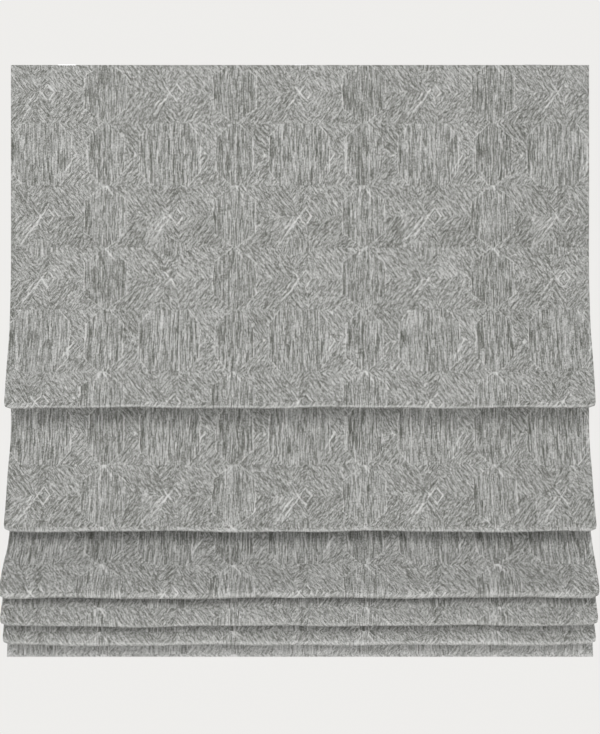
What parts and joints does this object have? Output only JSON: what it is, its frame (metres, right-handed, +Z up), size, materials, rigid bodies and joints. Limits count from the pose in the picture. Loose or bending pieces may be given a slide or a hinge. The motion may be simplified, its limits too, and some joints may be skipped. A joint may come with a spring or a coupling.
{
  "type": "roman blind",
  "caption": "Roman blind with a patterned cloth drawn up in forward cascading folds by lift cords from a shaft-driven headrail, for fixing to the top of a window recess.",
  "frame": {"origin": "centre of the top face of the middle bracket, which is screwed up to the soffit", "axes": "+Z up, the room side faces -Y, +X is to the right seen from the room"},
  "size_m": [1.2, 0.1391, 1.223],
  "materials": {
    "rail_aluminium": "white powder-coated satin",
    "bar_aluminium": "mill finish",
    "clip_steel": "zinc plated",
    "shaft_steel": "bright drawn",
    "white_moulding": "satin moulded",
    "spool_moulding": "satin moulded",
    "ring_moulding": "translucent white moulded",
    "motor_case": "fine textured",
    "button_moulding": "satin",
    "port_rubber": "matte",
    "rod_fibreglass": "pultruded",
    "face_cloth": "jacquard weave with short light and dark strokes",
    "lining_cloth": "plain sateen weave",
    "tape_cloth": "hook and loop",
    "cord_braid": "braided"
  },
  "bodies": {
    "headrail": {"headrail": "rail_aluminium", "end_cap_left": "white_moulding", "end_cap_right": "white_moulding", "bracket_left": "clip_steel", "bracket_middle": "clip_steel", "bracket_right": "clip_steel", "cradle_1": "white_moulding", "cradle_2": "white_moulding", "cradle_3": "white_moulding", "cradle_4": "white_moulding", "motor_housing": "motor_case", "port_cover": "port_rubber", "hook_tape": "tape_cloth", "loop_tape": "tape_cloth", "face_fabric": "face_cloth", "lining": "lining_cloth", "lift_cord_1": "cord_braid", "lift_cord_2": "cord_braid", "lift_cord_3": "cord_braid", "lift_cord_4": "cord_braid"},
    "drive": {"drive_shaft": "shaft_steel", "drive_collar_left": "clip_steel", "drive_collar_right": "clip_steel", "spool_1": "spool_moulding", "spool_2": "spool_moulding", "spool_3": "spool_moulding", "spool_4": "spool_moulding", "cord_pack_1": "cord_braid", "cord_pack_2": "cord_braid", "cord_pack_3": "cord_braid", "cord_pack_4": "cord_braid"},
    "button": {"set_button": "button_moulding"},
    "bottom_bar": {"bottom_bar": "bar_aluminium", "bar_cap_left": "white_moulding", "bar_cap_right": "white_moulding"},
    "rod_1": {"rod_1": "rod_fibreglass", "rod_caps_1": "ring_moulding", "pocket_1": "lining_cloth", "cord_rings_1": "ring_moulding"},
    "rod_2": {"rod_2": "rod_fibreglass", "rod_caps_2": "ring_moulding", "pocket_2": "lining_cloth", "cord_rings_2": "ring_moulding"},
    "rod_3": {"rod_3": "rod_fibreglass", "rod_caps_3": "ring_moulding", "pocket_3": "lining_cloth", "cord_rings_3": "ring_moulding"},
    "rod_4": {"rod_4": "rod_fibreglass", "rod_caps_4": "ring_moulding", "pocket_4": "lining_cloth", "cord_rings_4": "ring_moulding"},
    "rod_5": {"rod_5": "rod_fibreglass", "rod_caps_5": "ring_moulding", "pocket_5": "lining_cloth", "cord_rings_5": "ring_moulding", "cord_locks": "ring_moulding"}
  },
  "joints": [
    {"name": "lift", "type": "slide", "parent": "headrail", "child": "bottom_bar", "axis": [0, 0, 1], "range_m": [-1.228, 0.8], "deforming": ["face_fabric", "lining", "lift_cord_1", "lift_cord_2", "lift_cord_3", "lift_cord_4"]},
    {"name": "shaft_spin", "type": "hinge", "parent": "headrail", "child": "drive", "pos_m": [0, 0, -0.025], "axis": [1, 0, 0], "range_deg": [-5000, 7300]},
    {"name": "set_press", "type": "slide", "parent": "headrail", "child": "button", "axis": [0, 0, 1], "range_m": [0, 0.0012], "stiffness_N_per_m": 400, "springref_m": -0.001},
    {"name": "rod_1_slide", "type": "slide", "parent": "headrail", "child": "rod_1", "axis": [0, 0, 1], "range_m": [-0.7236, 0.4721]},
    {"name": "rod_2_slide", "type": "slide", "parent": "headrail", "child": "rod_2", "axis": [0, 0, 1], "range_m": [-1.0214, 0.6661]},
    {"name": "rod_3_slide", "type": "slide", "parent": "headrail", "child": "rod_3", "axis": [0, 0, 1], "range_m": [-1.0979, 0.7159]},
    {"name": "rod_4_slide", "type": "slide", "parent": "headrail", "child": "rod_4", "axis": [0, 0, 1], "range_m": [-1.1246, 0.7334]},
    {"name": "rod_5_slide", "type": "slide", "parent": "headrail", "child": "rod_5", "axis": [0, 0, 1], "range_m": [-1.1548, 0.753]}
  ],
  "couplings": [
    {"joint": "shaft_spin", "follows": "lift", "rad_per_m": -100},
    {"joint": "rod_1_slide", "follows": "lift", "ratio": 0.5876},
    {"joint": "rod_2_slide", "follows": "lift", "ratio": 0.8301},
    {"joint": "rod_3_slide", "follows": "lift", "ratio": 0.8924},
    {"joint": "rod_4_slide", "follows": "lift", "ratio": 0.9142},
    {"joint": "rod_5_slide", "follows": "lift", "ratio": 0.9388}
  ]
}
